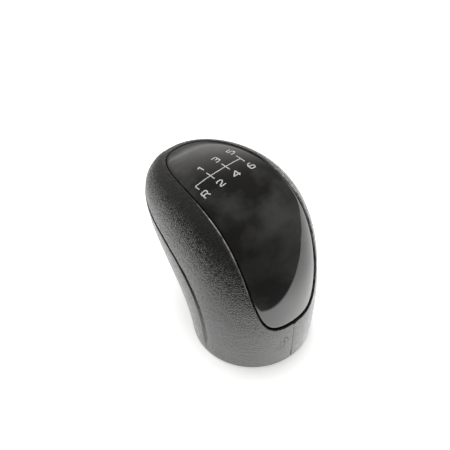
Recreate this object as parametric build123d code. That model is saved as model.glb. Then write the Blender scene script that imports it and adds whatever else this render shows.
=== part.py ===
"""Gear shift knob: a stiff core under a soft grained skin, with a gloss pattern plate let into its back.

The frame is the lever's: X to the car's right, Y forward, Z up along the lever, origin at the
centre of the foot. All sizes are in millimetres.
"""
import os
from math import cos, hypot, pi, radians, sin

from build123d import *

# Side profile. The back runs from the rear of the foot over the crown to the nose tip, the belly
# from the front of the foot up to the same tip. Handles are (forward, up) and pull the curves.
foot_radius = 23.0
rear_handle = (-28.3, 66.7)
crown_handle = (-11.3, 87.0)
brow_handle = (14.3, 75.3)
throat_handle = (28.8, 14.6)
chin_handle = (42.3, 32.8)
nose_reach = 53.2
nose_height = 51.0
nose_lean = -21.5
nose_upper_pull = 14.2
nose_lower_pull = 8.0

# Half widths that pull the plan shape between the round foot and the nose tip
neck_half_width = 24.8
palm_half_width = 26.9
finger_half_width = 24.5
nose_half_width = 16.2

# Cross section: how far it departs from an ellipse above the round foot
section_square = 0.051
section_pinch = -0.02
section_belly = 0.124

# Soft skin over the core
skin_thickness = 3.0
foot_round = 0.6

# Groove round the sides and the nose, drawn in the side view, fading out at the foot
groove_width = 1.0
groove_foot_offset = -1.1
groove_rise = (-1.35, 61.6)
groove_bend = (40.9, 41.8)
groove_nose_station = 0.97
groove_depth = 1.2

# Pattern plate, let in a little below the skin and parted from it by a gap that widens to the rear
plate_recess = 0.5
plate_gap_front = 0.5
plate_gap_rear = 0.9
plate_rear_height = 23.2
plate_nose_distance = 11.2
plate_half_width = 17.26
plate_egg = 0.2065
plate_blunt = -0.0165
plate_taper = 0.052
plate_shoulder = 0.032
plate_edge_chamfer = 0.25
peg_radius = 1.8
peg_length = 6.0
peg_clearance = 0.1
peg_ring = 0.6

# Core: a wall and ribs round the lever socket, open below
foot_recess = 1.0
core_wall = 2.5
recess_depth = 16.0
rib_count = 6
rib_thickness = 1.8

# Lever socket with its sleeve and snap ring
sleeve_bore_radius = 6.0
sleeve_wall = 2.2
sleeve_length = 38.0
sleeve_flange_width = 1.6
sleeve_flange_thickness = 1.5
socket_wall = 3.0
socket_end_clearance = 8.0
ring_thickness = 1.2
ring_grip = 0.4
ring_gap = 4.0
ring_clearance = 0.15

# How finely the freeform surfaces are sampled
section_points = 24
section_count = 14
outline_stations = 22
groove_stations = 12
step = 1e-4

sleeve_radius = sleeve_bore_radius + sleeve_wall
socket_radius = sleeve_radius + socket_wall
nose = (nose_reach, nose_height)
nose_up = (sin(radians(nose_lean)), cos(radians(nose_lean)))
back_curve = [
    (-foot_radius, 0.0),
    rear_handle,
    crown_handle,
    brow_handle,
    (nose[0] + nose_upper_pull * nose_up[0], nose[1] + nose_upper_pull * nose_up[1]),
    nose,
]
belly_curve = [
    (foot_radius, 0.0),
    throat_handle,
    chin_handle,
    (nose[0] - nose_lower_pull * nose_up[0], nose[1] - nose_lower_pull * nose_up[1]),
    nose,
]
half_widths = [
    (foot_radius,),
    (neck_half_width,),
    (palm_half_width,),
    (finger_half_width,),
    (nose_half_width,),
    (0.0,),
]


def bezier(handles, t):
    """Point at t on the curve that the handles pull."""
    points = list(handles)
    while len(points) > 1:
        points = [tuple(a + (b - a) * t for a, b in zip(p, q)) for p, q in zip(points, points[1:])]
    return points[0]


groove_curve = [
    (groove_foot_offset, 0.0),
    groove_rise,
    groove_bend,
    bezier(belly_curve, groove_nose_station),
]


def solve(function, low, high):
    """Where a function that changes sign between low and high is zero."""
    rising = function(high) > function(low)
    for _ in range(60):
        middle = (low + high) / 2
        if (function(middle) > 0) == rising:
            high = middle
        else:
            low = middle
    return (low + high) / 2


def section_terms(s):
    """Squareness, pinch and belly of the section at station s, fading out at the round foot."""
    fade = 1 - (1 - s) ** 2
    return section_square * fade, section_pinch * fade, section_belly * fade


def side_reach(s, angle):
    """How far out in X the skin lies at a station, for an angle round the section."""
    square, pinch, _ = section_terms(s)
    (width,) = bezier(half_widths, s)
    return width * (sin(angle) + pinch * sin(2 * angle) + square * sin(3 * angle)) / (1 - square)


def section_lift(s, angle):
    """Where the skin lies between the belly (-1) and the back (1) at a station."""
    square, _, belly = section_terms(s)
    return (cos(angle) - square * cos(3 * angle)) / (1 - square) + belly * sin(angle) ** 2


def skin_point(s, angle):
    """Point on the skin: s runs from the foot to the nose, angle from the back round to the belly."""
    rear, front = bezier(back_curve, s), bezier(belly_curve, s)
    lift = section_lift(s, angle)
    y, z = ((a + b) / 2 + lift * (a - b) / 2 for a, b in zip(rear, front))
    return Vector(side_reach(s, angle), y, z)


def skin_normal(s, angle):
    """Outward direction of the skin."""
    along = skin_point(s + step, angle) - skin_point(s - step, angle)
    around = skin_point(s, angle + step) - skin_point(s, angle - step)
    return around.cross(along).normalized()


def envelope(inset):
    """Solid inside the skin, set in from it all over."""
    wires = []
    for i in range(section_count):
        s = i / section_count
        points = []
        for j in range(section_points):
            angle = pi + 2 * pi * j / section_points
            out = skin_normal(max(s, step), angle)
            if i == 0:
                out = Vector(out.X, out.Y, 0).normalized()
            points.append(skin_point(s, angle) - out * inset)
        wires.append(Wire([Edge.make_spline(points, periodic=True)]))
    ahead = Vector(0, nose_up[1], -nose_up[0])
    tip = Vector(0, *nose) - ahead * inset
    return Solid.make_loft(wires + [Vertex(*tip)])


def plate_place(phi, size=1.0):
    """Station and angle on the plate's outline; phi is 0 at its front end and pi at its rear end."""
    rear = solve(lambda s: bezier(back_curve, s)[1] - plate_rear_height, 0.0, 0.4)
    front = solve(
        lambda s: hypot(*(a - b for a, b in zip(bezier(back_curve, s), nose))) - plate_nose_distance,
        0.6,
        1.0,
    )
    sweep = cos(phi) + plate_egg * (cos(2 * phi) - 1) + plate_blunt * cos(3 * phi)
    s = (rear + front) / 2 + size * (front - rear) / 2 * sweep / (1 + plate_blunt)
    x = size * plate_half_width * (
        sin(phi) + plate_taper * sin(2 * phi) + plate_shoulder * sin(3 * phi)
    )
    return s, solve(lambda angle: side_reach(s, angle) - x, -pi / 2, pi / 2)


def gap_ring(depth):
    """Narrow ring, square to the skin, that parts plate and skin and bevels an edge at this depth."""
    rings = []
    for i in range(outline_stations + 1):
        phi = pi * i / outline_stations
        at, out = skin_point(*plate_place(phi)), skin_normal(*plate_place(phi))
        along = skin_point(*plate_place(phi + step)) - skin_point(*plate_place(phi - step))
        if i in (0, outline_stations):
            out = Vector(0, out.Y, out.Z).normalized()
            along = Vector(1, 0, 0)
        side = along.cross(out).normalized()
        reach = (plate_gap_front * (1 + cos(phi)) + plate_gap_rear * (1 - cos(phi))) / 4
        flare = reach + plate_edge_chamfer
        profile = [
            (flare + skin_thickness, skin_thickness - depth),
            (reach, -plate_edge_chamfer - depth),
            (reach, -2 * skin_thickness),
        ]
        profile += [(-across, up) for across, up in reversed(profile)]
        rings.append(Wire.make_polygon([at + side * across + out * up for across, up in profile]))
    half = Solid.make_loft(rings)
    return half + mirror(half, Plane.YZ)


def place_beside(y, z):
    """Station and angle of the skin's point beside (y, z) in the side view."""

    def off_chord(s):
        (back_y, back_z), (belly_y, belly_z) = bezier(back_curve, s), bezier(belly_curve, s)
        return (back_y - belly_y) * (z - belly_z) - (back_z - belly_z) * (y - belly_y)

    s = solve(off_chord, 0.0, 1.0 - step)
    (back_y, back_z), (belly_y, belly_z) = bezier(back_curve, s), bezier(belly_curve, s)
    chord = Vector(back_y - belly_y, back_z - belly_z)
    lift = 2 * (Vector(y - belly_y, z - belly_z).dot(chord)) / chord.dot(chord) - 1
    return s, solve(lambda angle: section_lift(s, angle) - lift, 0.0, pi)


def groove_ring():
    """Blade, square to the skin, along the groove up one side, round the nose and down the other."""
    quads = []
    start = solve(lambda t: bezier(groove_curve, t)[1] - 2 * foot_round, 0.0, 0.5)
    for i in range(groove_stations + 1):
        t = start + (1 - start) * sin(pi / 2 * i / groove_stations)
        (y, z), (y_before, z_before) = bezier(groove_curve, t), bezier(groove_curve, t - step)
        place = place_beside(y, z)
        at, out = skin_point(*place), skin_normal(*place)
        along = at - skin_point(*place_beside(y_before, z_before))
        if i == groove_stations:
            at, out = Vector(0, y, z), Vector(0, out.Y, out.Z).normalized()
            along = Vector(-1, 0, 0)
        depth = groove_depth * (1 - (1 - place[0]) ** 4)
        side = along.cross(out).normalized() * (groove_width / 2)
        top, bottom = at + out, at - out * depth
        quads.append(Wire.make_polygon([top + side, top - side, bottom - side, bottom + side]))
    half = Solid.make_loft(quads)
    return half + mirror(half, Plane.YZ)


def pegs(radius, length):
    """Four round pegs under the plate, square to the skin."""
    group = []
    for quarter in range(4):
        place = plate_place(pi / 4 + quarter * pi / 2, peg_ring)
        out = skin_normal(*place)
        start = skin_point(*place) - out * (skin_thickness / 2)
        reach = skin_thickness / 2 + length
        group.append(Solid.make_cylinder(radius, reach, Plane(start, z_dir=-out)))
    return group


def tube(radius, low, high):
    """Round bar on the lever's axis."""
    return Solid.make_cylinder(radius, high - low, Plane((0, 0, low)))


outside = envelope(0.0)
outside = outside.fillet(foot_round, outside.faces().sort_by(Axis.Z)[0].edges())
inside = envelope(skin_thickness)
layer = outside - groove_ring() - inside - gap_ring(0.0)
grip_skin = layer.solids().sort_by(Axis.Z)[0]
low_layer = envelope(plate_recess) - inside - gap_ring(plate_recess)
plate_lid = low_layer.solids().sort_by(Axis.Z)[-1]
pattern_plate = plate_lid.fuse(*pegs(peg_radius, peg_length))

ring_top = sleeve_length + ring_thickness + ring_clearance
recess_radius = foot_radius - skin_thickness - core_wall
recess = tube(recess_radius, 0, foot_recess + recess_depth) - tube(socket_radius, 0, sleeve_length)
rib = Box(2 * foot_radius, rib_thickness, recess_depth, align=(Align.CENTER, Align.CENTER, Align.MIN))
for turn in range(rib_count // 2):
    recess -= Pos(0, 0, foot_recess) * Rot(0, 0, 360 / rib_count * turn) * rib
core = inside - tube(foot_radius, 0, foot_recess) - recess
core -= tube(sleeve_radius, 0, ring_top)
core -= tube(sleeve_radius + sleeve_flange_width, 0, sleeve_flange_thickness)
core -= tube(sleeve_bore_radius, 0, ring_top + socket_end_clearance)
for hole in pegs(peg_radius + peg_clearance, peg_length + peg_clearance):
    core -= hole

flange = tube(sleeve_radius + sleeve_flange_width, 0, sleeve_flange_thickness)
lever_sleeve = tube(sleeve_radius, 0, sleeve_length) + flange - tube(sleeve_bore_radius, 0, sleeve_length)

snap_ring = tube(sleeve_radius - ring_clearance, sleeve_length, sleeve_length + ring_thickness)
snap_ring -= tube(sleeve_bore_radius - ring_grip, sleeve_length, sleeve_length + ring_thickness)
snap_ring -= Pos(0, -sleeve_radius, sleeve_length) * Box(ring_gap, 2 * sleeve_radius, 4 * ring_thickness)

os.makedirs("parts", exist_ok=True)
for name, solid in (
    ("grip_skin", grip_skin),
    ("pattern_plate", pattern_plate),
    ("core", core),
    ("lever_sleeve", lever_sleeve),
    ("snap_ring", snap_ring),
):
    export_step(solid, f"parts/{name}.step")
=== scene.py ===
"""Gear shift knob: grained soft skin, gloss pattern plate with its printed shift pattern, and the
socket under the foot, on a pale studio floor. Shapes are worked out in millimetres.
"""

from math import cos, pi, radians, sin

import bmesh
import bpy
import numpy as np
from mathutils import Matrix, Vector
from mathutils.kdtree import KDTree


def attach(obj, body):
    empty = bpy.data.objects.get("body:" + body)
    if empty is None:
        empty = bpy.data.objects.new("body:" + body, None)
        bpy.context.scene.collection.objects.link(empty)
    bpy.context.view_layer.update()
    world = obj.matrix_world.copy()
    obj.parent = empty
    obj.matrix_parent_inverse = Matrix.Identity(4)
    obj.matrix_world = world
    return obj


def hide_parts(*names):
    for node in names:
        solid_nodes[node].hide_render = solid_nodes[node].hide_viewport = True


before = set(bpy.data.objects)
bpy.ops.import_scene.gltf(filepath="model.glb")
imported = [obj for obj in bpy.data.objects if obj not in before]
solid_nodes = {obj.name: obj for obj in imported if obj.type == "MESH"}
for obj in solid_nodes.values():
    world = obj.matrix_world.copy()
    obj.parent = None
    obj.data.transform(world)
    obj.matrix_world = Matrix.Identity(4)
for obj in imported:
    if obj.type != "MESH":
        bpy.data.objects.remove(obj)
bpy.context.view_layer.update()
scene = bpy.context.scene
scene.view_settings.view_transform = "Standard"

MM = 0.001

# Side profile, (forward, up): the back from the foot to the nose tip, and the belly to the same tip
FOOT_RADIUS = 23.0
NOSE = np.array([53.2, 51.0])
NOSE_UP = np.array([sin(radians(-21.5)), cos(radians(-21.5))])
BACK = np.array([
    (-FOOT_RADIUS, 0.0), (-28.3, 66.7), (-11.3, 87.0), (14.3, 75.3), NOSE + 14.2 * NOSE_UP, NOSE,
])
BELLY = np.array([
    (FOOT_RADIUS, 0.0), (28.8, 14.6), (42.3, 32.8), NOSE - 8.0 * NOSE_UP, NOSE,
])
HALF_WIDTHS = np.array([(FOOT_RADIUS,), (24.8,), (26.9,), (24.5,), (16.2,), (0.0,)])

# Cross section: how far it departs from an ellipse above the round foot
SECTION_SQUARE = 0.051
SECTION_PINCH = -0.02
SECTION_BELLY = 0.124

SKIN_THICKNESS = 3.0
FOOT_ROUND = 0.6

# Groove round the sides and the nose, in the side view
GROOVE_FOOT_OFFSET = -1.1
GROOVE_RISE = (-1.35, 61.6)
GROOVE_BEND = (40.9, 41.8)
GROOVE_NOSE_STATION = 0.97
GROOVE_DEPTH_NOSE, GROOVE_DEPTH_FOOT = 2.0, 0.5
GROOVE_REACH_NOSE, GROOVE_REACH_FOOT = 0.85, 1.6
# Shares of the groove's way up from the foot at which it has set in, and has its full depth
GROOVE_BEGUN, GROOVE_FULL = 0.06, 0.55

# Pattern plate, let in a little below the skin, and the gap round it, wider behind and on the right
PLATE_RECESS_FRONT, PLATE_RECESS_REAR = 0.22, 0.5
PLATE_RECESS_RUN = (-15.0, 30.0)
PLATE_GAP_FRONT, PLATE_GAP_REAR = 0.3, 0.85
PLATE_GAP_SKEW = 0.35
PLATE_REAR_HEIGHT = 23.2
PLATE_NOSE_DISTANCE = 10.7
PLATE_HALF_WIDTH = 17.26
PLATE_EGG = 0.2065
PLATE_BLUNT = -0.0165
PLATE_TAPER = 0.052
PLATE_SHOULDER = 0.032
PLATE_EDGE_ROUND = 0.3
PLATE_ROLL_WIDTH, PLATE_ROLL_DROP = 1.3, 0.16
SKIN_LIP_ROUND = 0.2
# Place on the disc map from which the columns of skin and plate spread
PLATE_MIDDLE = np.array([0.527, 0.0])

# Painted highlight on the lip of the opening: a pale band, strongest on its rear half, standing in for a
# glint on the lip's rounding
LIP_HIGHLIGHT_WIDTH = 0.26
LIP_HIGHLIGHT_START, LIP_HIGHLIGHT_FULL = 18.0, -2.0
LIP_HIGHLIGHT_LOW, LIP_HIGHLIGHT_END = 48.0, 42.0

# Mould line down the rear, deeper near the foot, and the nick where it meets the opening
REAR_RUN = (0.0, -5.0)
MOULD_LINE_REACH, MOULD_LINE_DEPTH = 0.17, 0.14
MOULD_LINE_DEPTH_FOOT, MOULD_LINE_FOOT_RUN = 0.6, (7.0, 3.0)
NICK_X, NICK_REACH, NICK_DEPTH = 0.5, 0.6, 1.0

# Patches of pinholes left of the mould line, drawn as dark specks of painted shade: middle and reach, and
# the share of it that is full of holes
PIT_PATCHES = (((-3.9, -23.5, 15.0), 2.6), ((-5.4, -23.1, 11.6), 2.4))
PIT_FULL_SHARE = 0.5
# Pinholes per metre, and where their edge lies in each cell
PIT_CELLS, PIT_EDGE = 1000.0, (0.15, 0.27)

# Printed shift pattern, in plan
CROSSBAR_Y = 18.7
FIRST_GATE_X = -11.9
GATE_PITCH = 6.9
GATE_STROKE = 2.35
LINE_WIDTH = 0.42
FRONT_DIGITS_Y, REAR_DIGITS_Y = 24.6, 13.0
DIGITS_ASIDE = 0.2
DIGIT_STROKE = 0.49
INK_RISE = 0.02
INK_POINT_SPACING = 0.15
INK_START_HEIGHT, INK_DROP = 200.0, 1000.0

# Digits as pen strokes about their middles
PEN_STROKES = {
    "R": [
        [(-1.1, -1.5), (-1.1, 1.45), (0.75, 1.45), (1.05, 1.15), (1.05, 0.3), (0.75, 0.0), (-1.0, 0.0)],
        [(0.4, 0.0), (1.1, -1.5)],
    ],
    "1": [[(-0.75, 0.65), (0.25, 1.45), (0.25, -1.5)]],
    "2": [
        [(-1.1, 0.75), (-1.1, 1.15), (-0.8, 1.4), (0.75, 1.4), (1.05, 1.1), (1.05, 0.5), (0.7, 0.15),
         (-0.9, -0.75), (-1.1, -1.4), (1.15, -1.4)],
    ],
    "3": [
        [(-1.0, 1.45), (0.7, 1.45), (1.0, 1.15), (1.0, 0.3), (0.7, 0.0), (-0.4, 0.0)],
        [(0.7, 0.0), (1.0, -0.3), (1.0, -1.15), (0.7, -1.45), (-1.0, -1.45)],
    ],
    "4": [[(0.7, -1.5), (0.7, 1.5), (-1.5, -0.65), (1.45, -0.65)]],
    "5": [
        [(1.0, 1.45), (-0.9, 1.45), (-0.95, 0.2), (0.7, 0.2), (1.0, -0.1), (1.0, -1.15), (0.7, -1.45),
         (-1.0, -1.45)],
    ],
    "6": [
        [(0.8, 1.45), (-0.3, 1.45), (-1.0, 0.6), (-1.0, -1.15), (-0.7, -1.45), (0.7, -1.45), (1.0, -1.15),
         (1.0, -0.2), (0.7, 0.1), (-0.95, 0.1)],
    ],
}

# Skin finish: pebbles per metre, their depth, and tones of pebble, of the painted shade in the creases and
# of the painted highlight on the lip
GRAIN_CELLS, GRAIN_WANDER, GRAIN_DEPTH = 1050.0, 0.9, 0.09
GRAIN_WANDER_SCALE, PEBBLE_EDGE = 420.0, 0.3
FINE_GRAIN_SCALE, FINE_GRAIN_SHARE = 2600.0, 0.2
# The crease tone below is painted shade: the grain's creases and the pinholes darken towards it
SKIN_TONE, PAINTED_SHADE_TONE, CREASE_SHADE_SHARE = (0.027, 0.0274, 0.0245), (0.002, 0.002, 0.002), 0.5
# The pale tone, its patches and its span below make the painted highlight on the lip, standing in for a
# glint
LIP_HIGHLIGHT_TONE, LIP_HIGHLIGHT_CLOUDS, LIP_HIGHLIGHT_SPAN = (0.6, 0.6, 0.58), 500.0, (0.2, 1.0)
SKIN_ROUGHNESS, SKIN_CLOUDS = (0.22, 0.27), 90.0

# Plate finish: tones, faint clouds and where they lie in metres, and the middle and reach of a painted
# reflection, a paler patch standing in for a dim broad light mirrored in the gloss
PLATE_DARK, PLATE_SMUDGE_AND_REFLECTION = (0.006, 0.006, 0.0055), (0.05, 0.0505, 0.046)
PLATE_CLOUDS, PLATE_CLOUD_SPAN, PLATE_CLOUD_SHIFT = 60.0, (-0.5, 0.9), (0.03, 0.0, 0.0)
# The paler patch below is a painted reflection, standing in for a dim broad light mirrored in the gloss
REFLECTION_SPOT_MIDDLE, REFLECTION_SPOT_REACH, REFLECTION_SPOT_SHARE = (1.4, -14.3, 62.5), (3.0, 20.0), 0.6
PLATE_ROUGHNESS, HAZE_CLOUDS = (0.04, 0.08), 140.0

# Ink and inner pieces; the gloss of the inner pieces varies more finely than their tone
INK_TONES, INK_CLOUDS, INK_ROUGHNESS = ((0.42, 0.42, 0.42), (0.5, 0.5, 0.5)), 900.0, 0.45
GLOSS_FINENESS = 3
FULL_SPAN = (0.0, 1.0)
CLOUD_DETAIL, CLOUD_NOISE_SPAN = 4.0, (0.3, 0.7)

# How finely the surfaces are sampled
GROOVE_COLUMNS, REAR_COLUMNS, PLATE_COLUMNS = 320, 150, 420
REAR_CROWDING = 1.5
UPPER_ROWS, LOWER_ROWS, INNER_ROWS, SKIN_WALL_ROWS = 34, 44, 40, 5
PLATE_ROWS, PLATE_UNDER_ROWS, PLATE_WALL_ROWS = 70, 20, 4
EDGE_ROWS, FOOT_ROWS = 6, 7
# Distances of rows from the groove's middle, and shares of the width of the lip's painted highlight and of
# the plate's rolled edge
GROOVE_ROWS = np.array([0, 0.08, 0.16, 0.24, 0.32, 0.41, 0.5, 0.6, 0.7, 0.82, 1.0, 1.3, 1.7])
LIP_ROW_STRETCH, LIP_HIGHLIGHT_ROWS = 1.05, np.array([1.2, 1.6, 2.1, 2.8])
PLATE_ROLL_ROWS = np.array([0.3, 0.4, 0.5, 0.6, 0.75, 0.9, 1.05])
# Most that the rows near both ends of a column may take up of it
ENDS_SHARE = 0.4
RUN_SAMPLES, GROOVE_SAMPLES, PLATE_EDGE_SAMPLES = 160, 6000, 4800
SOLVE_STEPS = 50
TINY = 1e-4
# In metres: points closer than this are one, and edges shorter than this go
MERGE_REACH, COLLAPSE_REACH = 1e-6, 1e-7


def bezier(handles, t):
    """Points at t on the curve that the handles pull; t is an array."""
    points = [np.multiply.outer(np.ones_like(t), h) for h in handles]
    w = np.asarray(t)[..., None]
    while len(points) > 1:
        points = [a + (b - a) * w for a, b in zip(points, points[1:])]
    return points[0]


def solve(function, low, high):
    """Where a function, taken for many places at once, changes sign between low and high."""
    rising = function(high) > function(low)
    for _ in range(SOLVE_STEPS):
        middle = (low + high) / 2
        above = (function(middle) > 0) == rising
        low, high = np.where(above, low, middle), np.where(above, middle, high)
    return (low + high) / 2


def section_terms(s):
    fade = 1 - (1 - s) ** 2
    return SECTION_SQUARE * fade, SECTION_PINCH * fade, SECTION_BELLY * fade


def side_reach(s, angle):
    """How far out in X the skin lies at station s, for an angle round the section."""
    square, pinch, _ = section_terms(s)
    width = bezier(HALF_WIDTHS, s)[..., 0]
    return width * (np.sin(angle) + pinch * np.sin(2 * angle) + square * np.sin(3 * angle)) / (1 - square)


def section_lift(s, angle):
    """Where the skin lies between the belly (-1) and the back (1) at station s."""
    square, _, belly = section_terms(s)
    return (np.cos(angle) - square * np.cos(3 * angle)) / (1 - square) + belly * np.sin(angle) ** 2


def skin_point(s, angle):
    rear, front = bezier(BACK, s), bezier(BELLY, s)
    lift = section_lift(s, angle)[..., None]
    side = (rear + front) / 2 + lift * (rear - front) / 2
    return np.stack([side_reach(s, angle), side[..., 0], side[..., 1]], axis=-1)


def on_disc(place):
    """Skin point for a place on the flat disc whose centre is the nose tip and whose rim is the foot."""
    s = 1 - np.hypot(place[..., 0], place[..., 1])
    return skin_point(s, np.arctan2(place[..., 1], place[..., 0]))


def unit(v):
    return v / np.linalg.norm(v, axis=-1, keepdims=True)


def disc_slopes(place):
    across, along = np.array([TINY, 0.0]), np.array([0.0, TINY])
    by_p = (on_disc(place + across) - on_disc(place - across)) / (2 * TINY)
    by_q = (on_disc(place + along) - on_disc(place - along)) / (2 * TINY)
    return by_p, by_q


def disc_normal(place):
    """Outward direction of the skin at a place on the disc."""
    by_p, by_q = disc_slopes(place)
    return unit(np.cross(by_p, by_q))


def disc_shift(place, step):
    """The place on the disc reached by a small step over the skin, given in space."""
    by_p, by_q = disc_slopes(place)
    pp, pq, qq = (by_p * by_p).sum(-1), (by_p * by_q).sum(-1), (by_q * by_q).sum(-1)
    tp, tq = (by_p * step).sum(-1), (by_q * step).sum(-1)
    even = pp * qq - pq * pq
    return place + np.stack([(tp * qq - tq * pq) / even, (tq * pp - tp * pq) / even], axis=-1)


def polar_to_disc(s, angle):
    return np.stack([(1 - s) * np.cos(angle), (1 - s) * np.sin(angle)], axis=-1)


def plate_outline(side_of_gap, count=2400):
    """Places on the disc round the gap: its plate side (-1) or its skin side (1)."""
    zero = np.zeros(1)
    rear = solve(lambda s: bezier(BACK, s)[..., 1] - PLATE_REAR_HEIGHT, zero, zero + 0.4)[0]
    front = solve(
        lambda s: np.hypot(*(bezier(BACK, s) - NOSE).T) - PLATE_NOSE_DISTANCE, zero + 0.6, zero + 1.0
    )[0]
    phi = 2 * pi * np.arange(count) / count
    sweep = np.cos(phi) + PLATE_EGG * (np.cos(2 * phi) - 1) + PLATE_BLUNT * np.cos(3 * phi)
    s = (rear + front) / 2 + (front - rear) / 2 * sweep / (1 + PLATE_BLUNT)
    x = PLATE_HALF_WIDTH * (np.sin(phi) + PLATE_TAPER * np.sin(2 * phi) + PLATE_SHOULDER * np.sin(3 * phi))
    half = np.full(count, pi / 2)
    angle = solve(lambda a: side_reach(s, a) - x, -half, half)
    place = polar_to_disc(s, angle)
    at = on_disc(place)
    along = np.roll(at, -1, axis=0) - np.roll(at, 1, axis=0)
    side = unit(np.cross(along, disc_normal(place)))
    outward = np.sign(((at - at.mean(axis=0)) * side).sum())
    rear_gap = PLATE_GAP_REAR * (1 + PLATE_GAP_SKEW * np.sin(phi))
    reach = (PLATE_GAP_FRONT * (1 + np.cos(phi)) + rear_gap * (1 - np.cos(phi))) / 4
    return disc_shift(place, side * (outward * side_of_gap * reach)[:, None])


def groove_line(count=700):
    """Places on the disc along the groove, from the right foot over the nose to the left foot."""
    t = np.sin(pi / 2 * np.linspace(0, 1, count))
    end = bezier(BELLY, np.array([GROOVE_NOSE_STATION]))[0]
    path = bezier(np.array([(GROOVE_FOOT_OFFSET, 0.0), GROOVE_RISE, GROOVE_BEND, end]), t)

    def off_chord(s):
        back, belly = bezier(BACK, s), bezier(BELLY, s)
        chord, reach = back - belly, path - belly
        return chord[..., 0] * reach[..., 1] - chord[..., 1] * reach[..., 0]

    s = solve(off_chord, np.zeros(count), np.full(count, 1 - TINY))
    back, belly = bezier(BACK, s), bezier(BELLY, s)
    chord = back - belly
    lift = 2 * ((path - belly) * chord).sum(-1) / (chord * chord).sum(-1) - 1
    angle = solve(lambda a: section_lift(s, a) - lift, np.zeros(count), np.full(count, pi))
    s[0], angle[-1] = 0.0, pi
    right = polar_to_disc(s, angle)
    return np.concatenate([right, (right * [1, -1])[-2::-1]]), np.concatenate([t, t[-2::-1]])


def bearing(place):
    """Direction of a place on the disc as seen from the plate's middle, counted from the front."""
    way = place - PLATE_MIDDLE
    return np.arctan2(way[..., 1], -way[..., 0])


def hit_outline(outline, turn):
    """Places where rays from the plate's middle at these bearings cross a closed outline."""
    angles = bearing(outline)
    order = np.argsort(angles)
    return np.stack(
        [np.interp(turn, angles[order], outline[order, k], period=2 * pi) for k in (0, 1)], axis=-1
    )


def rim_hit(turn):
    """Places on the disc's rim at these bearings from the plate's middle."""
    way = np.stack([-np.cos(turn), np.sin(turn)], axis=-1)
    lead = way @ PLATE_MIDDLE
    return PLATE_MIDDLE + way * (-lead + np.sqrt(lead**2 + 1 - PLATE_MIDDLE @ PLATE_MIDDLE))[..., None]


def spaced_rows(start, end, near_start, near_end, count):
    """Places in rows from start to end, at given distances near both ends and even in between."""
    fine = np.linspace(0, 1, RUN_SAMPLES)
    line = start[:, None] + (end - start)[:, None] * fine[None, :, None]
    steps = np.linalg.norm(np.diff(on_disc(line), axis=1), axis=-1)
    run = np.concatenate([np.zeros((len(start), 1)), np.cumsum(steps, axis=1)], axis=1)
    rows = []
    for column in range(len(start)):
        length = run[column, -1]
        squeeze = min(1.0, ENDS_SHARE * length / max(near_start[-1] + near_end[-1], TINY))
        head, tail = near_start * squeeze, length - near_end[::-1] * squeeze
        middle = np.linspace(head[-1], tail[0], count + 2)[1:-1]
        where = np.interp(np.concatenate([head, middle, tail]), run[column], fine)
        rows.append(start[column] + (end[column] - start[column]) * where[:, None])
    return np.array(rows)


def round_rows(radius, count):
    """Distances from an edge at which rows follow its rounding."""
    return radius * (1 - np.cos(np.linspace(0, pi / 2, count)))


def make_mesh(name, points, faces):
    """A mesh object from points in millimetres, with doubles merged and too short edges dissolved."""
    mesh = bpy.data.meshes.new(name)
    mesh.from_pydata((points * MM).tolist(), [], faces)
    work = bmesh.new()
    work.from_mesh(mesh)
    bmesh.ops.remove_doubles(work, verts=work.verts, dist=MERGE_REACH)
    bmesh.ops.dissolve_degenerate(work, edges=work.edges, dist=COLLAPSE_REACH)
    bmesh.ops.recalc_face_normals(work, faces=work.faces)
    for face in work.faces:
        face.smooth = True
    work.to_mesh(mesh)
    work.free()
    piece = bpy.data.objects.new(name, mesh)
    scene.collection.objects.link(piece)
    return piece


def grid_faces(rows, closed):
    """Quads between neighbouring rows of point numbers."""
    faces = []
    for a, b in zip(rows, rows[1:]):
        last = len(a) if closed else len(a) - 1
        for i in range(last):
            j = (i + 1) % len(a)
            faces.append((a[i], a[j], b[j], b[i]))
    return faces


def clean_faces(faces):
    """Faces without repeated points."""
    kept = []
    for face in faces:
        ring = [p for k, p in enumerate(face) if p != face[k - 1]]
        if len(ring) > 2 and len(set(ring)) == len(ring):
            kept.append(tuple(ring))
    return kept


def distance_to(points, line):
    """Distance from each point to the nearest of a dense line's points, and that point's number."""
    tree = KDTree(len(line))
    for number, point in enumerate(line):
        tree.insert(point, number)
    tree.balance()
    found = [tree.find(p) for p in points]
    return np.array([f[2] for f in found]), np.array([f[1] for f in found])


def ease(low, high, x):
    t = np.clip((x - low) / (high - low), 0, 1)
    return t * t * (3 - 2 * t)


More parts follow.
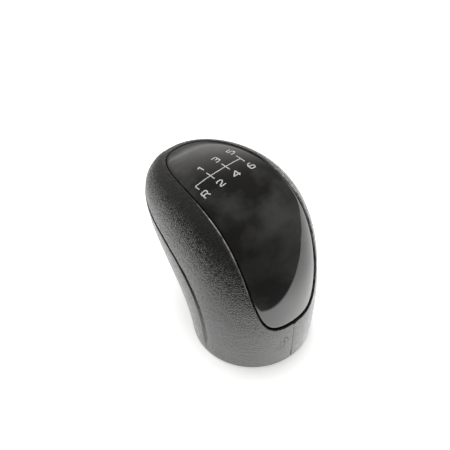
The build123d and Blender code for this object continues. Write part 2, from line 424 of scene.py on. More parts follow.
def build_skin():
    groove, groove_t = groove_line()
    opening = plate_outline(1)

    # One column for each bearing: those in front cross the groove, those behind end at the foot
    steps = np.linalg.norm(np.diff(on_disc(groove), axis=0), axis=-1)
    run = np.concatenate([[0], np.cumsum(steps)]) / steps.sum()
    even = np.linspace(0, 1, GROOVE_COLUMNS + 1)
    groove_end = np.stack([np.interp(even, run, groove[:, k]) for k in (0, 1)], axis=-1)
    front_turn = bearing(groove_end)
    sides = np.linspace(1, -1, REAR_COLUMNS + 1)[1:-1]
    rear_turn = -pi + (pi - front_turn[0]) * np.sign(sides) * np.abs(sides) ** REAR_CROWDING
    turn = np.concatenate([front_turn, rear_turn])
    front = len(front_turn)
    start = hit_outline(opening, turn)
    end = np.concatenate([groove_end, rim_hit(rear_turn)])
    foot = rim_hit(turn)
    foot[0], foot[front - 1] = groove_end[0], groove_end[-1]

    lip = LIP_ROW_STRETCH * round_rows(SKIN_LIP_ROUND, EDGE_ROWS)
    lip = np.concatenate([lip, LIP_HIGHLIGHT_WIDTH * LIP_HIGHLIGHT_ROWS])
    rounding = round_rows(FOOT_ROUND, FOOT_ROWS)
    upper = spaced_rows(start, end, lip, GROOVE_ROWS, UPPER_ROWS)
    lower = spaced_rows(end[:front], foot[:front], GROOVE_ROWS, rounding, LOWER_ROWS)

    def carve(place):
        """Skin points with the lip, the groove and the rounded foot taken off."""
        at, out = on_disc(place), disc_normal(place)
        flat, flat_out = at.reshape(-1, 3), out.reshape(-1, 3)
        edge, _ = distance_to(flat, on_disc(opening))
        near = np.clip(SKIN_LIP_ROUND - edge, 0, SKIN_LIP_ROUND)
        sink = SKIN_LIP_ROUND - np.sqrt(SKIN_LIP_ROUND**2 - near**2)
        dense = np.linspace(0, 1, GROOVE_SAMPLES)
        way = np.stack([np.interp(dense, run, groove[:, k]) for k in (0, 1)], axis=-1)
        off, number = distance_to(flat, on_disc(way))
        t = np.interp(dense, run, groove_t)[number]
        rise = ease(0.0, GROOVE_FULL, t)
        reach = GROOVE_REACH_FOOT + (GROOVE_REACH_NOSE - GROOVE_REACH_FOOT) * rise
        depth = GROOVE_DEPTH_FOOT + (GROOVE_DEPTH_NOSE - GROOVE_DEPTH_FOOT) * rise
        depth = depth * ease(0.0, GROOVE_BEGUN, t)
        sink = sink + depth * np.clip(1 - (off / reach) ** 2, 0, 1) ** 2
        behind = ease(*REAR_RUN, flat[:, 1])
        deeper = ease(*MOULD_LINE_FOOT_RUN, flat[:, 2])
        line_depth = MOULD_LINE_DEPTH + (MOULD_LINE_DEPTH_FOOT - MOULD_LINE_DEPTH) * deeper
        sink = sink + behind * line_depth * np.exp(-((flat[:, 0] / MOULD_LINE_REACH) ** 2))
        nick = np.hypot(flat[:, 0] - NICK_X, edge) / NICK_REACH
        sink = sink + behind * NICK_DEPTH * np.clip(1 - nick**4, 0, 1)
        moved = flat - flat_out * sink[:, None]
        low = np.clip(FOOT_ROUND - flat[:, 2], 0, FOOT_ROUND)
        inward = unit(flat_out * [1, 1, 0]) * (FOOT_ROUND - np.sqrt(FOOT_ROUND**2 - low**2))[:, None]
        return (moved - inward).reshape(at.shape)

    upper_points, lower_points = carve(upper), carve(lower)
    out = disc_normal(start)
    edge = on_disc(start)
    depths = np.linspace(SKIN_LIP_ROUND, SKIN_THICKNESS, SKIN_WALL_ROWS)[1:]
    wall = np.stack([edge - out * d for d in depths], axis=1)
    shares = np.linspace(0, 1, INNER_ROWS)[1:]
    inner_rows = np.stack([start + (foot - start) * share for share in shares], axis=1)
    inner_out = disc_normal(inner_rows)
    inner_out[:, -1] = unit(inner_out[:, -1] * [1, 1, 0])
    inner = on_disc(inner_rows) - inner_out * SKIN_THICKNESS
    inner[:, -1, 2] = 0.0

    points, blocks, total = [], [], 0
    for block in (upper_points, lower_points, wall, inner):
        count = block.shape[0] * block.shape[1]
        blocks.append(total + np.arange(count).reshape(block.shape[:2]).T)
        points.append(block.reshape(-1, 3))
        total += count
    upper_no, lower_no, wall_no, inner_no = blocks
    lower_no[0] = upper_no[-1, :front]
    lower_no[:, 0], lower_no[:, -1] = upper_no[-1, 0], upper_no[-1, front - 1]
    foot_no = np.concatenate([lower_no[-1], upper_no[-1, front:]])

    faces = grid_faces([list(r) for r in upper_no], True)
    faces += grid_faces([list(r) for r in lower_no], False)
    faces += grid_faces([list(r) for r in (upper_no[0], *wall_no, *inner_no, foot_no)], True)
    piece = make_mesh("grained_grip", np.concatenate(points), clean_faces(faces))
    mark_lip(piece, on_disc(opening))
    return piece


def mark_lip(piece, opening):
    """Notes on each point of the skin how strongly the painted highlight on the lip shows there."""
    flat = np.array([vertex.co for vertex in piece.data.vertices]) / MM
    edge, _ = distance_to(flat, opening)
    # Painted highlight: a pale band along the opening's lip, strongest on its rear half, standing in for a
    # glint on the rounding
    along = ease(LIP_HIGHLIGHT_START, LIP_HIGHLIGHT_FULL, flat[:, 1]) * ease(LIP_HIGHLIGHT_END, LIP_HIGHLIGHT_LOW, flat[:, 2])
    lip_glint = piece.data.attributes.new("painted_lip_highlight", "FLOAT", "POINT")
    lip_glint.data.foreach_set("value", along * np.exp(-((edge / LIP_HIGHLIGHT_WIDTH) ** 2)))


def build_plate():
    rim = hit_outline(plate_outline(-1), 2 * pi * np.arange(PLATE_COLUMNS) / PLATE_COLUMNS - pi)
    middle = np.repeat(PLATE_MIDDLE[None], PLATE_COLUMNS, axis=0)
    edge_rows = np.concatenate([round_rows(PLATE_EDGE_ROUND, EDGE_ROWS), PLATE_ROLL_WIDTH * PLATE_ROLL_ROWS])
    face = spaced_rows(middle, rim, np.zeros(1), edge_rows, PLATE_ROWS)
    at, out = on_disc(face), disc_normal(face)
    edge, _ = distance_to(at.reshape(-1, 3), on_disc(plate_outline(-1, PLATE_EDGE_SAMPLES)))
    edge = edge.reshape(at.shape[:2])
    near = np.clip(PLATE_EDGE_ROUND - edge, 0, PLATE_EDGE_ROUND)
    sink = PLATE_EDGE_ROUND - np.sqrt(PLATE_EDGE_ROUND**2 - near**2)
    sink = sink + PLATE_ROLL_DROP * np.clip(1 - edge / PLATE_ROLL_WIDTH, 0, 1) ** 2
    forward = ease(*PLATE_RECESS_RUN, at[..., 1])
    recess = PLATE_RECESS_REAR + (PLATE_RECESS_FRONT - PLATE_RECESS_REAR) * forward
    top = at - out * (recess + sink)[..., None]
    brink = (recess + sink)[:, -1]
    shares = np.linspace(0, 1, PLATE_WALL_ROWS)[1:]
    depths = brink[:, None] + (SKIN_THICKNESS - brink)[:, None] * shares
    wall = at[:, -1:] - out[:, -1:] * depths[..., None]
    under_rows = spaced_rows(middle, rim, np.zeros(1), np.zeros(1), PLATE_UNDER_ROWS)[:, ::-1][:, 1:]
    under = on_disc(under_rows) - disc_normal(under_rows) * SKIN_THICKNESS
    block = np.concatenate([top, wall, under], axis=1)
    count = block.shape[0] * block.shape[1]
    numbers = np.arange(count).reshape(block.shape[:2]).T
    numbers[0], numbers[-1] = numbers[0, 0], numbers[-1, 0]
    faces = clean_faces(grid_faces([list(r) for r in numbers], True))
    return make_mesh("gloss_pattern_plate", block.reshape(-1, 3), faces)


def pen_lines(name, strokes):
    """Pen strokes drawn flat, in plan, as plain edges."""
    points, edges = [], []
    for stroke in strokes:
        edges += [(len(points) + i, len(points) + i + 1) for i in range(len(stroke) - 1)]
        points += [(x * MM, y * MM, 0) for x, y in stroke]
    mesh = bpy.data.meshes.new(name)
    mesh.from_pydata(points, edges, [])
    piece = bpy.data.objects.new(name, mesh)
    scene.collection.objects.link(piece)
    return piece


def gate_strokes():
    """Crossbar and gates; the first gate only leads back."""
    gates = [FIRST_GATE_X + GATE_PITCH * i for i in range(4)]
    back, front = CROSSBAR_Y - GATE_STROKE, CROSSBAR_Y + GATE_STROKE
    first = [(gates[0], back), (gates[0], CROSSBAR_Y), (gates[-1], CROSSBAR_Y)]
    return [first] + [[(gate, back), (gate, front)] for gate in gates[1:]]


def digit_strokes():
    """R and the six gears, each beyond the end of its gate."""
    places = {"R": (0, REAR_DIGITS_Y)}
    for gear in range(1, 7):
        places[str(gear)] = ((gear + 1) // 2, FRONT_DIGITS_Y if gear % 2 else REAR_DIGITS_Y)
    strokes = []
    for sign, (gate, y) in places.items():
        x = FIRST_GATE_X + GATE_PITCH * gate + DIGITS_ASIDE
        strokes += [[(x + a, y + b) for a, b in stroke] for stroke in PEN_STROKES[sign]]
    return strokes


def drape_tree():
    """Geometry nodes that lay pen strokes on a surface from above, as wide and as high as ink."""
    tree = bpy.data.node_groups.new("Drape ink on plate", "GeometryNodeTree")
    face = tree.interface
    face.new_socket("Geometry", in_out="INPUT", socket_type="NodeSocketGeometry")
    face.new_socket("Surface", in_out="INPUT", socket_type="NodeSocketObject")
    for name in ("Line Width", "Ink Rise", "Point Spacing", "Start Height"):
        face.new_socket(name, in_out="INPUT", socket_type="NodeSocketFloat")
    face.new_socket("Ink", in_out="INPUT", socket_type="NodeSocketMaterial")
    face.new_socket("Geometry", in_out="OUTPUT", socket_type="NodeSocketGeometry")
    make, link = tree.nodes.new, tree.links.new
    inputs, output = make("NodeGroupInput"), make("NodeGroupOutput")
    surface = make("GeometryNodeObjectInfo")
    link(inputs.outputs["Surface"], surface.inputs["Object"])
    strokes, points = make("GeometryNodeMeshToCurve"), make("GeometryNodeResampleCurve")
    link(inputs.outputs["Geometry"], strokes.inputs["Mesh"])
    points.mode = "LENGTH"
    link(strokes.outputs["Curve"], points.inputs["Curve"])
    link(inputs.outputs["Point Spacing"], points.inputs["Length"])
    place, lift = make("GeometryNodeInputPosition"), make("ShaderNodeCombineXYZ")
    link(inputs.outputs["Start Height"], lift.inputs["Z"])
    above = make("ShaderNodeVectorMath")
    link(place.outputs["Position"], above.inputs[0])
    link(lift.outputs["Vector"], above.inputs[1])
    drop = make("GeometryNodeRaycast")
    drop.data_type = "FLOAT_VECTOR"
    link(surface.outputs["Geometry"], drop.inputs["Target Geometry"])
    link(above.outputs["Vector"], drop.inputs["Source Position"])
    drop.inputs["Ray Direction"].default_value = (0, 0, -1)
    drop.inputs["Ray Length"].default_value = INK_DROP * MM
    smooth = make("GeometryNodeInputNormal")
    link(smooth.outputs["Normal"], drop.inputs["Attribute"])
    upright = make("GeometryNodeSetCurveNormal")
    upright.mode = "FREE"
    link(points.outputs["Curve"], upright.inputs["Curve"])
    link(drop.outputs["Attribute"], upright.inputs["Normal"])
    laid = make("GeometryNodeSetPosition")
    link(upright.outputs["Curve"], laid.inputs["Geometry"])
    link(drop.outputs["Hit Position"], laid.inputs["Position"])
    nib = make("GeometryNodeCurvePrimitiveQuadrilateral")
    link(inputs.outputs["Ink Rise"], nib.inputs["Width"])
    link(inputs.outputs["Line Width"], nib.inputs["Height"])
    drawn = make("GeometryNodeCurveToMesh")
    drawn.inputs["Fill Caps"].default_value = True
    link(laid.outputs["Geometry"], drawn.inputs["Curve"])
    link(nib.outputs["Curve"], drawn.inputs["Profile Curve"])
    real, ink = make("GeometryNodeRealizeInstances"), make("GeometryNodeSetMaterial")
    link(drawn.outputs["Mesh"], real.inputs["Geometry"])
    link(real.outputs["Geometry"], ink.inputs["Geometry"])
    link(inputs.outputs["Ink"], ink.inputs["Material"])
    link(ink.outputs["Geometry"], output.inputs["Geometry"])
    return tree


def run_tree(piece, tree, values):
    """Runs a geometry tree on a piece and keeps the result as its plain mesh."""
    modifier = piece.modifiers.new(tree.name, "NODES")
    modifier.node_group = tree
    for item in tree.interface.items_tree:
        if item.in_out == "INPUT" and item.name in values:
            modifier[item.identifier] = values[item.name]
    depsgraph = bpy.context.evaluated_depsgraph_get()
    result = bpy.data.meshes.new_from_object(piece.evaluated_get(depsgraph))
    piece.modifiers.remove(modifier)
    piece.data = result
    return piece


def new_material(name):
    material = bpy.data.materials.new(name)
    material.use_nodes = True
    return material, material.node_tree.nodes, material.node_tree.links.new


def math_node(nodes, link, operation, *values):
    """A Math node on values or other nodes' outputs; its output."""
    node = nodes.new("ShaderNodeMath")
    node.operation = operation
    for socket, value in zip(node.inputs, values):
        if isinstance(value, (int, float)):
            socket.default_value = value
        else:
            link(value, socket)
    return node.outputs["Value"]


def ramp_node(nodes, link, value, low, high, to_low=0.0, to_high=1.0):
    """A smooth step from to_low to to_high as value goes from low to high."""
    node = nodes.new("ShaderNodeMapRange")
    node.interpolation_type = "SMOOTHSTEP"
    link(value, node.inputs["Value"])
    for name, number in (("From Min", low), ("From Max", high), ("To Min", to_low), ("To Max", to_high)):
        node.inputs[name].default_value = number
    return node.outputs["Result"]


def grain_group():
    """Leather-like grain: pebbles parted by fine creases."""
    group = bpy.data.node_groups.new("Grain", "ShaderNodeTree")
    face = group.interface
    for socket, value in (("Cells", GRAIN_CELLS), ("Wander", GRAIN_WANDER)):
        made = face.new_socket(socket, in_out="INPUT", socket_type="NodeSocketFloat")
        made.default_value = value
    face.new_socket("Vector", in_out="INPUT", socket_type="NodeSocketVector")
    face.new_socket("Height", in_out="OUTPUT", socket_type="NodeSocketFloat")
    face.new_socket("Crease", in_out="OUTPUT", socket_type="NodeSocketFloat")
    make, link = group.nodes.new, group.links.new
    inputs, output = make("NodeGroupInput"), make("NodeGroupOutput")
    wander = make("ShaderNodeTexNoise")
    wander.inputs["Scale"].default_value = GRAIN_WANDER_SCALE
    wander.inputs["Detail"].default_value = 2.0
    link(inputs.outputs["Vector"], wander.inputs["Vector"])
    centre = make("ShaderNodeVectorMath")
    centre.operation = "SUBTRACT"
    centre.inputs[1].default_value = (0.5, 0.5, 0.5)
    link(wander.outputs["Color"], centre.inputs[0])
    size = make("ShaderNodeMath")
    size.operation = "DIVIDE"
    link(inputs.outputs["Wander"], size.inputs[0])
    link(inputs.outputs["Cells"], size.inputs[1])
    pull = make("ShaderNodeVectorMath")
    pull.operation = "SCALE"
    link(centre.outputs["Vector"], pull.inputs[0])
    link(size.outputs["Value"], pull.inputs["Scale"])
    moved = make("ShaderNodeVectorMath")
    link(inputs.outputs["Vector"], moved.inputs[0])
    link(pull.outputs["Vector"], moved.inputs[1])
    cells = make("ShaderNodeTexVoronoi")
    cells.feature = "DISTANCE_TO_EDGE"
    link(moved.outputs["Vector"], cells.inputs["Vector"])
    link(inputs.outputs["Cells"], cells.inputs["Scale"])
    dome = make("ShaderNodeMapRange")
    dome.interpolation_type = "SMOOTHSTEP"
    dome.inputs["From Max"].default_value = PEBBLE_EDGE
    link(cells.outputs["Distance"], dome.inputs["Value"])
    fine = make("ShaderNodeTexNoise")
    fine.inputs["Scale"].default_value = FINE_GRAIN_SCALE
    fine.inputs["Detail"].default_value = 3.0
    link(inputs.outputs["Vector"], fine.inputs["Vector"])
    add = make("ShaderNodeMath")
    add.operation = "MULTIPLY_ADD"
    add.inputs[1].default_value = FINE_GRAIN_SHARE
    link(fine.outputs["Fac"], add.inputs[0])
    link(dome.outputs["Result"], add.inputs[2])
    crease = make("ShaderNodeMath")
    crease.operation = "SUBTRACT"
    crease.inputs[0].default_value = 1.0
    link(dome.outputs["Result"], crease.inputs[1])
    link(add.outputs["Value"], output.inputs["Height"])
    link(crease.outputs["Value"], output.inputs["Crease"])
    return group


def cloud_group():
    """Soft uneven patches, for faint marks and uneven gloss."""
    group = bpy.data.node_groups.new("Clouding", "ShaderNodeTree")
    face = group.interface
    face.new_socket("Vector", in_out="INPUT", socket_type="NodeSocketVector")
    for socket, value in (("Scale", PLATE_CLOUDS), ("Low", FULL_SPAN[0]), ("High", FULL_SPAN[1])):
        made = face.new_socket(socket, in_out="INPUT", socket_type="NodeSocketFloat")
        made.default_value = value
    face.new_socket("Value", in_out="OUTPUT", socket_type="NodeSocketFloat")
    make, link = group.nodes.new, group.links.new
    inputs, output = make("NodeGroupInput"), make("NodeGroupOutput")
    noise = make("ShaderNodeTexNoise")
    noise.inputs["Detail"].default_value = CLOUD_DETAIL
    link(inputs.outputs["Vector"], noise.inputs["Vector"])
    link(inputs.outputs["Scale"], noise.inputs["Scale"])
    spread = make("ShaderNodeMapRange")
    spread.inputs["From Min"].default_value = CLOUD_NOISE_SPAN[0]
    spread.inputs["From Max"].default_value = CLOUD_NOISE_SPAN[1]
    link(noise.outputs["Fac"], spread.inputs["Value"])
    link(inputs.outputs["Low"], spread.inputs["To Min"])
    link(inputs.outputs["High"], spread.inputs["To Max"])
    link(spread.outputs["Result"], output.inputs["Value"])
    return group


def spot_group():
    """1 within an inner distance, fading to 0 at an outer one; Vector is the way from the spot's middle."""
    group = bpy.data.node_groups.new("Spot", "ShaderNodeTree")
    face = group.interface
    face.new_socket("Vector", in_out="INPUT", socket_type="NodeSocketVector")
    for socket in ("Inner", "Outer"):
        face.new_socket(socket, in_out="INPUT", socket_type="NodeSocketFloat")
    face.new_socket("Value", in_out="OUTPUT", socket_type="NodeSocketFloat")
    make, link = group.nodes.new, group.links.new
    inputs, output = make("NodeGroupInput"), make("NodeGroupOutput")
    length, fade = make("ShaderNodeVectorMath"), make("ShaderNodeMapRange")
    length.operation = "LENGTH"
    link(inputs.outputs["Vector"], length.inputs[0])
    fade.interpolation_type = "SMOOTHSTEP"
    fade.inputs["To Min"].default_value = 1.0
    fade.inputs["To Max"].default_value = 0.0
    link(length.outputs["Value"], fade.inputs["Value"])
    link(inputs.outputs["Inner"], fade.inputs["From Min"])
    link(inputs.outputs["Outer"], fade.inputs["From Max"])
    link(fade.outputs["Result"], output.inputs["Value"])
    return group


def place_group(nodes, link, group, values, shift=(0.0, 0.0, 0.0)):
    """Puts a node group in a material, on Object coordinates moved by a shift, with its own values."""
    node = nodes.new("ShaderNodeGroup")
    node.node_tree = group
    coordinates, moved = nodes.new("ShaderNodeTexCoord"), nodes.new("ShaderNodeMapping")
    moved.inputs["Location"].default_value = shift
    link(coordinates.outputs["Object"], moved.inputs["Vector"])
    link(moved.outputs["Vector"], node.inputs["Vector"])
    for name, value in values.items():
        node.inputs[name].default_value = value
    return node


def cloud_value(nodes, link, clouding, scale, span, shift=(0.0, 0.0, 0.0)):
    """Soft uneven patches between the two ends of a span."""
    values = {"Scale": scale, "Low": span[0], "High": span[1]}
    return place_group(nodes, link, clouding, values, shift).outputs["Value"]


def spot_value(nodes, link, spot, middle, inner, outer):
    """1 within inner of a point of the knob, 0 beyond outer; all in millimetres."""
    shift = [-MM * value for value in middle]
    values = {"Inner": inner * MM, "Outer": outer * MM}
    return place_group(nodes, link, spot, values, shift).outputs["Value"]


def two_tones(nodes, link, factor, first, second):
    """A colour between two, the first of which may come from another node."""
    mix = nodes.new("ShaderNodeMix")
    mix.data_type = "RGBA"
    if isinstance(first, tuple):
        mix.inputs["A"].default_value = (*first, 1)
    else:
        link(first, mix.inputs["A"])
    mix.inputs["B"].default_value = (*second, 1)
    link(factor, mix.inputs["Factor"])
    return mix.outputs["Result"]


def pits(nodes, link, spot):
    """Pinholes in two small patches of the skin; 1 in a hole, 0 elsewhere."""
    patches = [
        spot_value(nodes, link, spot, middle, PIT_FULL_SHARE * reach, reach) for middle, reach in PIT_PATCHES
    ]
    coordinates, rear = nodes.new("ShaderNodeTexCoord"), nodes.new("ShaderNodeMapping")
    rear.inputs["Rotation"].default_value = (pi / 2, 0, 0)
    link(coordinates.outputs["Object"], rear.inputs["Vector"])
    holes = nodes.new("ShaderNodeTexVoronoi")
    holes.voronoi_dimensions = "2D"
    link(rear.outputs["Vector"], holes.inputs["Vector"])
    holes.inputs["Scale"].default_value = PIT_CELLS
    hole = ramp_node(nodes, link, holes.outputs["Distance"], *PIT_EDGE, 1.0, 0.0)
    return math_node(nodes, link, "MULTIPLY", hole, math_node(nodes, link, "MAXIMUM", *patches))


def grained_skin_material(grain, clouding, spot):
    material, nodes, link = new_material("Grained skin")
    shader = nodes["Principled BSDF"]
    cells = place_group(nodes, link, grain, {"Cells": GRAIN_CELLS, "Wander": GRAIN_WANDER})
    pit = pits(nodes, link, spot)
    # Painted shade: the grain's creases, and the pinholes, get a darker base colour, standing in for the
    # shade that falls into them
    crease = math_node(nodes, link, "MULTIPLY", cells.outputs["Crease"], CREASE_SHADE_SHARE)
    dark = math_node(nodes, link, "MAXIMUM", crease, pit)
    tone_with_painted_shade = two_tones(nodes, link, dark, SKIN_TONE, PAINTED_SHADE_TONE)
    # Painted highlight on the opening's lip: the base colour turns pale there, standing in for a glint
    lip_glint = nodes.new("ShaderNodeAttribute")
    lip_glint.attribute_name = "painted_lip_highlight"
    patchy = cloud_value(nodes, link, clouding, LIP_HIGHLIGHT_CLOUDS, LIP_HIGHLIGHT_SPAN)
    painted_glint = math_node(nodes, link, "MULTIPLY", lip_glint.outputs["Fac"], patchy)
    link(two_tones(nodes, link, painted_glint, tone_with_painted_shade, LIP_HIGHLIGHT_TONE), shader.inputs["Base Color"])
    gloss = cloud_value(nodes, link, clouding, SKIN_CLOUDS, SKIN_ROUGHNESS)
    # In the pinholes the skin turns rough and metallic over its dark tone, so they stay dark: painted shade
    # of holes that the mesh lacks
    link(math_node(nodes, link, "MAXIMUM", gloss, pit), shader.inputs["Roughness"])
    link(pit, shader.inputs["Metallic"])
    bump = nodes.new("ShaderNodeBump")
    bump.inputs["Distance"].default_value = GRAIN_DEPTH * MM
    link(cells.outputs["Height"], bump.inputs["Height"])
    link(bump.outputs["Normal"], shader.inputs["Normal"])
    return material


def gloss_plate_material(clouding, spot):
    material, nodes, link = new_material("Gloss plate")
    shader = nodes["Principled BSDF"]
    clouds = cloud_value(nodes, link, clouding, PLATE_CLOUDS, PLATE_CLOUD_SPAN, PLATE_CLOUD_SHIFT)
    # Painted reflection: a paler patch on the plate, standing in for a dim broad light mirrored there
    painted_reflection = spot_value(nodes, link, spot, REFLECTION_SPOT_MIDDLE, *REFLECTION_SPOT_REACH)
    tone = math_node(nodes, link, "MULTIPLY_ADD", painted_reflection, REFLECTION_SPOT_SHARE, clouds)
    link(two_tones(nodes, link, tone, PLATE_DARK, PLATE_SMUDGE_AND_REFLECTION), shader.inputs["Base Color"])
    link(cloud_value(nodes, link, clouding, HAZE_CLOUDS, PLATE_ROUGHNESS), shader.inputs["Roughness"])
    return material


def ink_material(clouding):
    material, nodes, link = new_material("Printed ink")
    shader = nodes["Principled BSDF"]
    tone = cloud_value(nodes, link, clouding, INK_CLOUDS, FULL_SPAN)
    link(two_tones(nodes, link, tone, *INK_TONES), shader.inputs["Base Color"])
    shader.inputs["Roughness"].default_value = INK_ROUGHNESS
    return material


def plain_finish(name, dark, light, scale, roughness, metallic, clouding):
    """Moulded plastic or worked metal with uneven tone and gloss."""
    material, nodes, link = new_material(name)
    shader = nodes["Principled BSDF"]
    shader.inputs["Metallic"].default_value = metallic
    tone = cloud_value(nodes, link, clouding, scale, FULL_SPAN)
    link(two_tones(nodes, link, tone, dark, light), shader.inputs["Base Color"])
    gloss = cloud_value(nodes, link, clouding, GLOSS_FINENESS * scale, roughness)
    link(gloss, shader.inputs["Roughness"])
    return material


def wear(piece, material):
    piece.data.materials.clear()
    piece.data.materials.append(material)


grain, clouding, spot = grain_group(), cloud_group(), spot_group()
skin = build_skin()
wear(skin, grained_skin_material(grain, clouding, spot))
plate = build_plate()
wear(plate, gloss_plate_material(clouding, spot))
ink, drape = ink_material(clouding), drape_tree()
for name, strokes, width in (
    ("printed_gates", gate_strokes(), LINE_WIDTH),
    ("printed_digits", digit_strokes(), DIGIT_STROKE),
):
    print_line = run_tree(pen_lines(name, strokes), drape, {
        "Surface": plate,
        "Line Width": width * MM,
        "Ink Rise": 2 * INK_RISE * MM,
        "Point Spacing": INK_POINT_SPACING * MM,
        "Start Height": INK_START_HEIGHT * MM,
        "Ink": ink,
    })
    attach(print_line, "root")
for piece, node, slot in ((skin, "grip_skin", "grained_skin"), (plate, "pattern_plate", "gloss_plate")):
    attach(piece, "root")
    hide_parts(node)
for node, name, dark, light, scale, roughness, metallic in (
    ("core", "Core plastic", (0.025, 0.025, 0.027), (0.035, 0.035, 0.037), 120.0, (0.45, 0.6), 0.0),
    ("lever_sleeve", "Sleeve metal", (0.55, 0.55, 0.57), (0.65, 0.65, 0.67), 200.0, (0.25, 0.38), 1.0),
    ("snap_ring", "Ring metal", (0.45, 0.45, 0.47), (0.55, 0.55, 0.57), 200.0, (0.25, 0.35), 1.0),
):
    wear(solid_nodes[node], plain_finish(name, dark, light, scale, roughness, metallic, clouding))


# Studio, in metres: a bright white sheet with its edges, a pool of light on it near the knob's foot, a dim
# floor beyond that is lighter far behind, and the room's light with the same lighter horizon
SHEET_FRONT, SHEET_SLANT = (-0.0665, -0.0625), 0.38
SHEET_LEFT, SHEET_LEAN = (-0.072, -0.064), 0.11
SHEET_RIGHT, SHEET_BACK = (0.37, 0.41), (0.06, 0.165)
SHEET_CORNER, SHEET_END = (-0.09, -0.078), (-0.14, -0.12)
POOL_MIDDLE, POOL_REACH, POOL_LIGHT = (-0.006, -0.048, 0.0), (0.005, 0.075), (1.78, 0.64)
FAR_FLOOR, FAR_SLANT, FAR_LEFT = (0.25, 0.45), -0.5, (-0.05, 0.6)
FLOOR_GLOW, FLOOR_WHITE = 0.5, (0.9, 0.9, 0.9, 1.0)
FLOOR_HALF_SIZE, FLOOR_DROP = 3.0, 0.0001
ROOM_LIGHT, HORIZON_LIGHT = 0.22, 1.2
ROOM_COLOUR = (1.0, 0.97, 0.93, 1.0)
HORIZON_RISE, HORIZON_AWAY = (-0.05, 0.7), (0.0, 0.6)
LAMP_PLACE, LAMP_SIZE, LAMP_POWER = (0.1, 0.25, 0.9), 0.9, 11.0
CAMERA_TURN, CAMERA_RISE = radians(-38.921), radians(50.334)
CAMERA_DISTANCE = 0.515
CAMERA_LENS, CAMERA_SENSOR = 110.47, 36.0
TARGET = Vector((0.0, 0.016685, 0.041555))


def floor_material():
    """White to the camera; what the knob mirrors of it is bright near by and dim beyond the sheet."""
    material, nodes, link = new_material("Pale floor")
    nodes.remove(nodes["Principled BSDF"])
    rays, coordinates = nodes.new("ShaderNodeLightPath"), nodes.new("ShaderNodeTexCoord")
    apart = nodes.new("ShaderNodeSeparateXYZ")
    link(coordinates.outputs["Object"], apart.inputs["Vector"])
    x, y = apart.outputs["X"], apart.outputs["Y"]
    slant = math_node(nodes, link, "MULTIPLY_ADD", x, SHEET_SLANT, y)
    lean = math_node(nodes, link, "MULTIPLY_ADD", y, SHEET_LEAN, x)
    sheet = ramp_node(nodes, link, slant, *SHEET_FRONT)
    for edge in (
        ramp_node(nodes, link, lean, *SHEET_LEFT),
        ramp_node(nodes, link, math_node(nodes, link, "ADD", x, y), *SHEET_CORNER),
        ramp_node(nodes, link, y, *SHEET_END),
        ramp_node(nodes, link, x, *SHEET_RIGHT, 1.0, 0.0),
        ramp_node(nodes, link, y, *SHEET_BACK, 1.0, 0.0),
    ):
        sheet = math_node(nodes, link, "MULTIPLY", sheet, edge)
    spread = nodes.new("ShaderNodeVectorMath")
    spread.operation = "DISTANCE"
    link(coordinates.outputs["Object"], spread.inputs[0])
    spread.inputs[1].default_value = POOL_MIDDLE
    pool = ramp_node(nodes, link, spread.outputs["Value"], *POOL_REACH, *POOL_LIGHT)
    away = math_node(nodes, link, "MULTIPLY_ADD", x, FAR_SLANT, y)
    behind = ramp_node(nodes, link, away, *FAR_FLOOR)
    beyond = math_node(nodes, link, "MULTIPLY", behind, ramp_node(nodes, link, x, *FAR_LEFT))
    far = math_node(nodes, link, "MULTIPLY_ADD", beyond, HORIZON_LIGHT, ROOM_LIGHT)
    seen = math_node(nodes, link, "MAXIMUM", sheet, rays.outputs["Is Camera Ray"])
    tone = nodes.new("ShaderNodeMix")
    tone.data_type = "RGBA"
    tone.inputs["A"].default_value = (0, 0, 0, 1)
    tone.inputs["B"].default_value = FLOOR_WHITE
    link(seen, tone.inputs["Factor"])
    paper, glow = nodes.new("ShaderNodeBsdfDiffuse"), nodes.new("ShaderNodeEmission")
    link(tone.outputs["Result"], paper.inputs["Color"])
    mirrored = math_node(nodes, link, "MULTIPLY_ADD", sheet, pool, far)
    strength = nodes.new("ShaderNodeMix")
    link(rays.outputs["Is Camera Ray"], strength.inputs["Factor"])
    link(mirrored, strength.inputs["A"])
    strength.inputs["B"].default_value = FLOOR_GLOW
    link(strength.outputs["Result"], glow.inputs["Strength"])
    both = nodes.new("ShaderNodeAddShader")
    link(paper.outputs["BSDF"], both.inputs[0])
    link(glow.outputs["Emission"], both.inputs[1])
    link(both.outputs["Shader"], nodes["Material Output"].inputs["Surface"])
    return material


def build_floor():
    mesh = bpy.data.meshes.new("floor")
    corners = ((-1, -1), (1, -1), (1, 1), (-1, 1))
    points = [(x * FLOOR_HALF_SIZE, y * FLOOR_HALF_SIZE, -FLOOR_DROP) for x, y in corners]
    mesh.from_pydata(points, [], [(0, 1, 2, 3)])
    floor = bpy.data.objects.new("floor", mesh)
    scene.collection.objects.link(floor)
    wear(floor, floor_material())


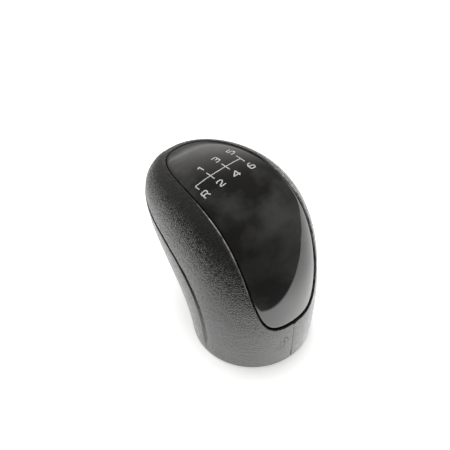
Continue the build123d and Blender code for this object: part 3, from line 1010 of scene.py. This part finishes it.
def build_world():
    """White to the camera; to the knob a dim room, lighter low down on the side away from the camera."""
    world = bpy.data.worlds.new("Soft studio")
    scene.world = world
    world.use_nodes = True
    nodes, link = world.node_tree.nodes, world.node_tree.links.new
    coordinates, apart = nodes.new("ShaderNodeTexCoord"), nodes.new("ShaderNodeSeparateXYZ")
    link(coordinates.outputs["Generated"], apart.inputs["Vector"])
    away = math_node(nodes, link, "MULTIPLY_ADD", apart.outputs["X"], FAR_SLANT, apart.outputs["Y"])
    low = ramp_node(nodes, link, apart.outputs["Z"], *HORIZON_RISE, 1.0, 0.0)
    behind = ramp_node(nodes, link, away, *HORIZON_AWAY)
    back = math_node(nodes, link, "MULTIPLY", behind, ramp_node(nodes, link, apart.outputs["X"], *FAR_LEFT))
    light = math_node(nodes, link, "MULTIPLY", low, back)
    room = nodes["Background"]
    room.inputs["Color"].default_value = ROOM_COLOUR
    link(math_node(nodes, link, "MULTIPLY_ADD", light, HORIZON_LIGHT, ROOM_LIGHT), room.inputs["Strength"])
    white = nodes.new("ShaderNodeBackground")
    white.inputs["Color"].default_value = (1, 1, 1, 1)
    rays, mix = nodes.new("ShaderNodeLightPath"), nodes.new("ShaderNodeMixShader")
    link(rays.outputs["Is Camera Ray"], mix.inputs["Fac"])
    link(room.outputs["Background"], mix.inputs[1])
    link(white.outputs["Background"], mix.inputs[2])
    link(mix.outputs["Shader"], nodes["World Output"].inputs["Surface"])


def soft_lamp(name, place, size, power):
    lamp = bpy.data.lights.new(name, "AREA")
    lamp.shape, lamp.size, lamp.energy = "DISK", size, power
    holder = bpy.data.objects.new(name, lamp)
    holder.location = place
    holder.rotation_euler = (TARGET - Vector(place)).to_track_quat("-Z", "Y").to_euler()
    holder.visible_glossy = False
    scene.collection.objects.link(holder)


def build_camera():
    camera = bpy.data.cameras.new("Camera")
    camera.lens, camera.sensor_width = CAMERA_LENS, CAMERA_SENSOR
    holder = bpy.data.objects.new("Camera", camera)
    level = cos(CAMERA_RISE)
    way = Vector((sin(CAMERA_TURN) * level, -cos(CAMERA_TURN) * level, sin(CAMERA_RISE)))
    holder.location = TARGET + way * CAMERA_DISTANCE
    holder.rotation_euler = way.to_track_quat("Z", "Y").to_euler()
    scene.collection.objects.link(holder)
    scene.camera = holder


build_floor()
build_world()
soft_lamp("overhead", LAMP_PLACE, LAMP_SIZE, LAMP_POWER)
build_camera()
